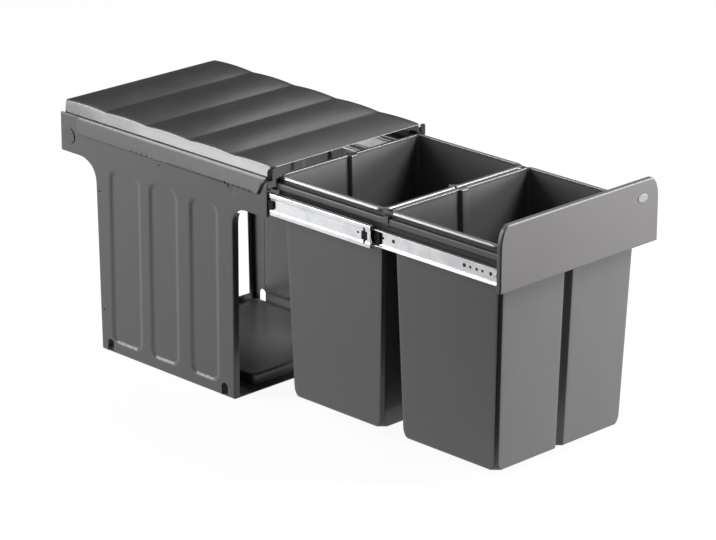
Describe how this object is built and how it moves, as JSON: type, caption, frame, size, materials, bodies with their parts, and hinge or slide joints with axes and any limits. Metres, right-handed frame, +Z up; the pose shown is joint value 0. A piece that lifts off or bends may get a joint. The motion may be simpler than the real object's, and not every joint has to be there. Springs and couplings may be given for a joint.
{
  "type": "pull-out waste bin frame",
  "caption": "Floor-mounted housing with a ribbed hinged lid and a drawer frame on ball-bearing slides that carries lift-out waste bins.",
  "frame": {"origin": "middle of the floor screw pattern, on the underside of the floor plate", "axes": "+X to the right, +Y to the back of the cabinet, +Z up; the drawer runs out towards -Y"},
  "size_m": [0.35, 0.9848, 0.431],
  "materials": {
    "housing_paint": "satin grey paint",
    "lid_paint": "semi-gloss grey paint",
    "frame_paint": "satin grey paint",
    "front_paint": "satin grey paint",
    "zinc_steel": "bright zinc",
    "steel": "polished",
    "black_plastic": "matte",
    "grey_plastic": "matte",
    "badge_plastic": "gloss",
    "bin_plastic": "fine grain"
  },
  "bodies": {
    "housing": {"left_side_panel": "housing_paint", "right_side_panel": "housing_paint", "floor_plate": "housing_paint", "rear_brace": "housing_paint", "left_outer_rail": "zinc_steel", "right_outer_rail": "zinc_steel", "left_rail_stop": "black_plastic", "right_rail_stop": "black_plastic", "left_pivot_plug": "grey_plastic", "right_pivot_plug": "grey_plastic", "lid_rest_buffers": "black_plastic"},
    "lid": {"lid_cover": "lid_paint", "lid_ears": "housing_paint", "lid_pins": "steel"},
    "drawer": {"left_inner_rail": "zinc_steel", "right_inner_rail": "zinc_steel", "left_frame_rail": "frame_paint", "right_frame_rail": "frame_paint", "front_crossbar": "frame_paint", "middle_crossbar": "frame_paint", "rear_crossbar": "frame_paint", "rail_rivets": "steel", "front_panel": "front_paint", "panel_studs": "steel", "panel_nuts": "steel", "blank_badge": "badge_plastic", "release_pins": "black_plastic"},
    "front_waste_bin": {"front_bin": "bin_plastic"},
    "rear_waste_bin": {"rear_bin": "bin_plastic"},
    "left_mid_slide": {"left_mid_rail": "zinc_steel", "left_mid_stop": "black_plastic"},
    "left_outer_ball_cage": {"left_outer_cage": "zinc_steel", "left_outer_balls": "steel"},
    "left_inner_ball_cage": {"left_inner_cage": "zinc_steel", "left_inner_balls": "steel"},
    "left_release": {"left_release_lever": "black_plastic"},
    "right_mid_slide": {"right_mid_rail": "zinc_steel", "right_mid_stop": "black_plastic"},
    "right_outer_ball_cage": {"right_outer_cage": "zinc_steel", "right_outer_balls": "steel"},
    "right_inner_ball_cage": {"right_inner_cage": "zinc_steel", "right_inner_balls": "steel"},
    "right_release": {"right_release_lever": "black_plastic"}
  },
  "joints": [
    {"name": "drawer_slide", "type": "slide", "parent": "housing", "child": "drawer", "axis": [0, 1, 0], "range_m": [0, 0.475]},
    {"name": "left_mid_run", "type": "slide", "parent": "housing", "child": "left_mid_slide", "axis": [0, 1, 0], "range_m": [0, 0.2375]},
    {"name": "left_outer_cage_run", "type": "slide", "parent": "housing", "child": "left_outer_ball_cage", "axis": [0, 1, 0], "range_m": [0, 0.11875]},
    {"name": "left_inner_cage_run", "type": "slide", "parent": "left_mid_slide", "child": "left_inner_ball_cage", "axis": [0, 1, 0], "range_m": [0, 0.11875]},
    {"name": "left_release_turn", "type": "hinge", "parent": "drawer", "child": "left_release", "pos_m": [-0.162, -0.46458, 0.3466], "axis": [1, 0, 0], "range_deg": [0, 8], "stiffness_Nm_per_rad": 0.05},
    {"name": "right_mid_run", "type": "slide", "parent": "housing", "child": "right_mid_slide", "axis": [0, 1, 0], "range_m": [0, 0.2375]},
    {"name": "right_outer_cage_run", "type": "slide", "parent": "housing", "child": "right_outer_ball_cage", "axis": [0, 1, 0], "range_m": [0, 0.11875]},
    {"name": "right_inner_cage_run", "type": "slide", "parent": "right_mid_slide", "child": "right_inner_ball_cage", "axis": [0, 1, 0], "range_m": [0, 0.11875]},
    {"name": "right_release_turn", "type": "hinge", "parent": "drawer", "child": "right_release", "pos_m": [0.162, -0.46458, 0.3466], "axis": [1, 0, 0], "range_deg": [0, 8], "stiffness_Nm_per_rad": 0.05},
    {"name": "lid_hinge", "type": "hinge", "parent": "housing", "child": "lid", "pos_m": [0, 0.2317, 0.352], "axis": [-1, 0, 0], "range_deg": [0, 70]},
    {"name": "front_bin_lift", "type": "slide", "parent": "drawer", "child": "front_waste_bin", "axis": [0, 0, -1], "range_m": [-0.4, 0]},
    {"name": "rear_bin_lift", "type": "slide", "parent": "drawer", "child": "rear_waste_bin", "axis": [0, 0, -1], "range_m": [-0.4, 0]}
  ],
  "couplings": [
    {"joint": "left_mid_run", "follows": "drawer_slide", "ratio": 0.5},
    {"joint": "left_outer_cage_run", "follows": "drawer_slide", "ratio": 0.25},
    {"joint": "left_inner_cage_run", "follows": "drawer_slide", "ratio": 0.25},
    {"joint": "right_mid_run", "follows": "drawer_slide", "ratio": 0.5},
    {"joint": "right_outer_cage_run", "follows": "drawer_slide", "ratio": 0.25},
    {"joint": "right_inner_cage_run", "follows": "drawer_slide", "ratio": 0.25}
  ]
}
